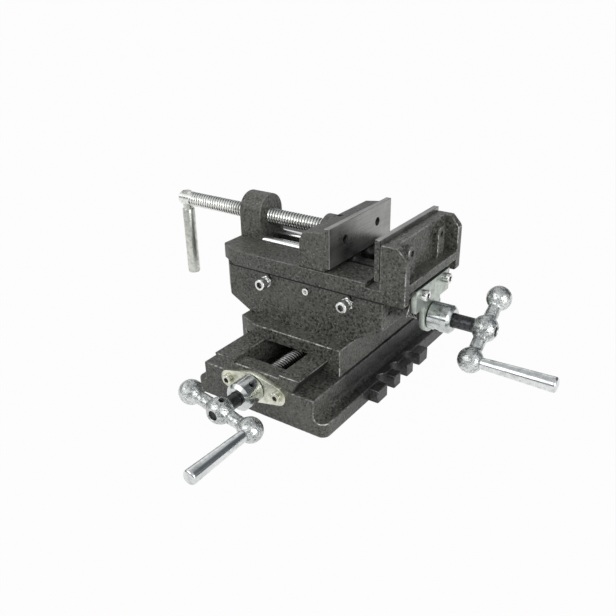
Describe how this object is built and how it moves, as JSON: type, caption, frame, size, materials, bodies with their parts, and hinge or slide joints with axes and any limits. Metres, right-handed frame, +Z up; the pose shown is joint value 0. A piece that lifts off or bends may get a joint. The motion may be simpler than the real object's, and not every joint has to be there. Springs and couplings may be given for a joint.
{
  "type": "cross slide vise",
  "caption": "Machine vise on two crossed dovetail slides, each fed by a screw with a three-ball crank; the jaw is closed by a screw with a bent handle.",
  "frame": {"origin": "centre of the base's underside", "axes": "+X along the clamp screw towards the fixed jaw, +Y from the front crank to the back, +Z up"},
  "size_m": [0.3915, 0.3405, 0.1525],
  "materials": {
    "hammered_paint": "dark charcoal hammered paint on rough castings, worn at the edges",
    "jaw_steel": "dark satin blackened steel",
    "zinc": "bright zinc plate",
    "pale_zinc": "pale grey-green passivated zinc",
    "yellow_zinc": "yellowish passivated zinc",
    "black_steel": "black oxide, lightly oiled",
    "ground_steel": "bright ground",
    "nut_bronze": "machined bronze"
  },
  "bodies": {
    "base": {"base_casting": "hammered_paint", "y_end_plate": "yellow_zinc", "y_end_plate_screws": "yellow_zinc"},
    "y_screw": {"y_feed_screw": "black_steel", "y_collar": "zinc", "y_collar_set_screw": "black_steel", "y_crank": "zinc", "y_crank_set_screw": "black_steel", "y_crank_grip": "zinc"},
    "saddle": {"saddle_casting": "hammered_paint", "y_gib": "ground_steel", "y_gib_screws": "zinc", "y_gib_nuts": "zinc", "y_feed_nut": "nut_bronze", "y_nut_screws": "black_steel", "x_gib": "ground_steel", "x_gib_screws": "zinc", "x_gib_nuts": "zinc", "x_lock_screw": "zinc", "x_feed_nut": "nut_bronze", "x_nut_screws": "black_steel"},
    "vise_body": {"vise_body_casting": "hammered_paint", "x_end_plate": "pale_zinc", "x_end_plate_screws": "zinc", "fixed_jaw_plate": "jaw_steel", "fixed_jaw_screws": "black_steel", "guide_rods": "ground_steel"},
    "x_screw": {"x_feed_screw": "black_steel", "x_collar": "zinc", "x_collar_set_screw": "black_steel", "x_crank": "zinc", "x_crank_set_screw": "black_steel", "x_crank_grip": "zinc"},
    "moving_jaw": {"moving_jaw_casting": "hammered_paint", "moving_jaw_plate": "jaw_steel", "moving_jaw_screws": "black_steel", "clamp_retaining_screw": "black_steel"},
    "clamp": {"clamp_screw": "zinc", "clamp_handle": "zinc"}
  },
  "joints": [
    {"name": "y_screw_turn", "type": "hinge", "parent": "base", "child": "y_screw", "pos_m": [0, -0.119, 0.028], "axis": [0, 1, 0], "range_deg": [-6276, 4956]},
    {"name": "saddle_slide", "type": "slide", "parent": "base", "child": "saddle", "axis": [0, 1, 0], "range_m": [-0.041, 0.052]},
    {"name": "vise_slide", "type": "slide", "parent": "saddle", "child": "vise_body", "axis": [1, 0, 0], "range_m": [-0.012, 0.068]},
    {"name": "x_screw_turn", "type": "hinge", "parent": "vise_body", "child": "x_screw", "pos_m": [0.1025, -0.0055, 0.075], "axis": [1, 0, 0], "range_deg": [-1476, 8196]},
    {"name": "jaw_slide", "type": "slide", "parent": "vise_body", "child": "moving_jaw", "axis": [1, 0, 0], "range_m": [-0.06, 0.0408]},
    {"name": "clamp_turn", "type": "hinge", "parent": "moving_jaw", "child": "clamp", "pos_m": [0, -0.0055, 0.132], "axis": [1, 0, 0], "range_deg": [-7236, 4932]}
  ],
  "couplings": [
    {"joint": "y_screw_turn", "follows": "saddle_slide", "rad_per_m": -2094.4},
    {"joint": "x_screw_turn", "follows": "vise_slide", "rad_per_m": 2094.4},
    {"joint": "clamp_turn", "follows": "jaw_slide", "rad_per_m": 2094.4}
  ]
}
